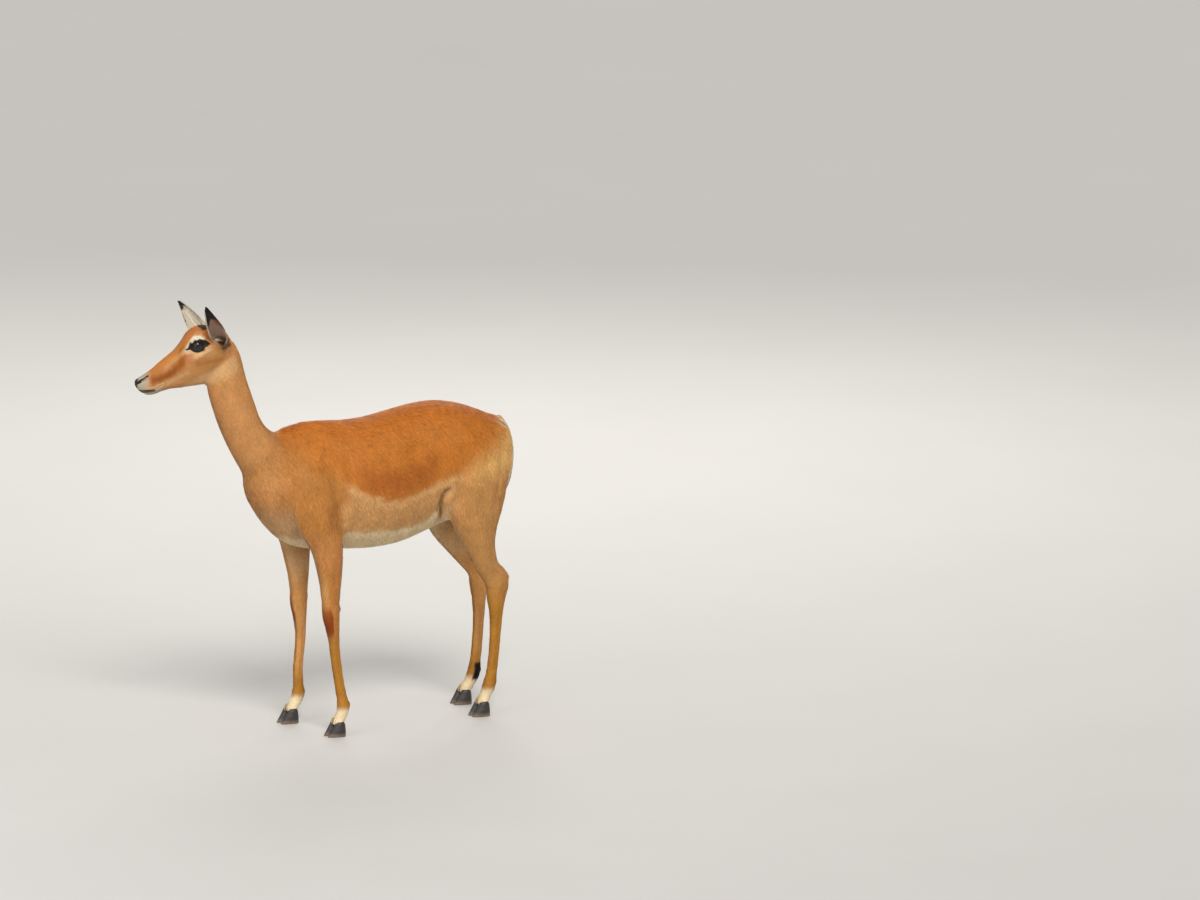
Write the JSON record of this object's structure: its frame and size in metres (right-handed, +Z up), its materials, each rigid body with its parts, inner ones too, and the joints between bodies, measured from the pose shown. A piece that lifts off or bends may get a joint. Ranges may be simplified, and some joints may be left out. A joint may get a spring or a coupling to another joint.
{
  "type": "impala antelope",
  "caption": "Life-size still figure of a hornless antelope ewe, standing alert with its head turned a little aside.",
  "frame": {"origin": "on the floor, under the middle of the figure's bounding box", "axes": "+Z up, +X towards the animal's left side, the animal faces -Y"},
  "size_m": [0.3, 1.098, 1.1996],
  "materials": {
    "coat": "short flat red-brown hair, paler flank, white belly",
    "ear": "short hair, white inside, black tip",
    "tail": "white hair with a black line down the middle",
    "eye": "wet, nearly black brown",
    "hoof": "dark horn, half dull"
  },
  "bodies": {
    "root": {"head": "coat", "neck": "coat", "trunk": "coat", "leg_fore_left": "coat", "leg_fore_right": "coat", "leg_hind_left": "coat", "leg_hind_right": "coat", "tail": "tail", "ear_left": "ear", "ear_right": "ear", "eye_left": "eye", "eye_right": "eye", "hoof_fore_left_inner": "hoof", "hoof_fore_left_outer": "hoof", "hoof_fore_right_inner": "hoof", "hoof_fore_right_outer": "hoof", "hoof_hind_left_inner": "hoof", "hoof_hind_left_outer": "hoof", "hoof_hind_right_inner": "hoof", "hoof_hind_right_outer": "hoof"}
  },
  "joints": []
}
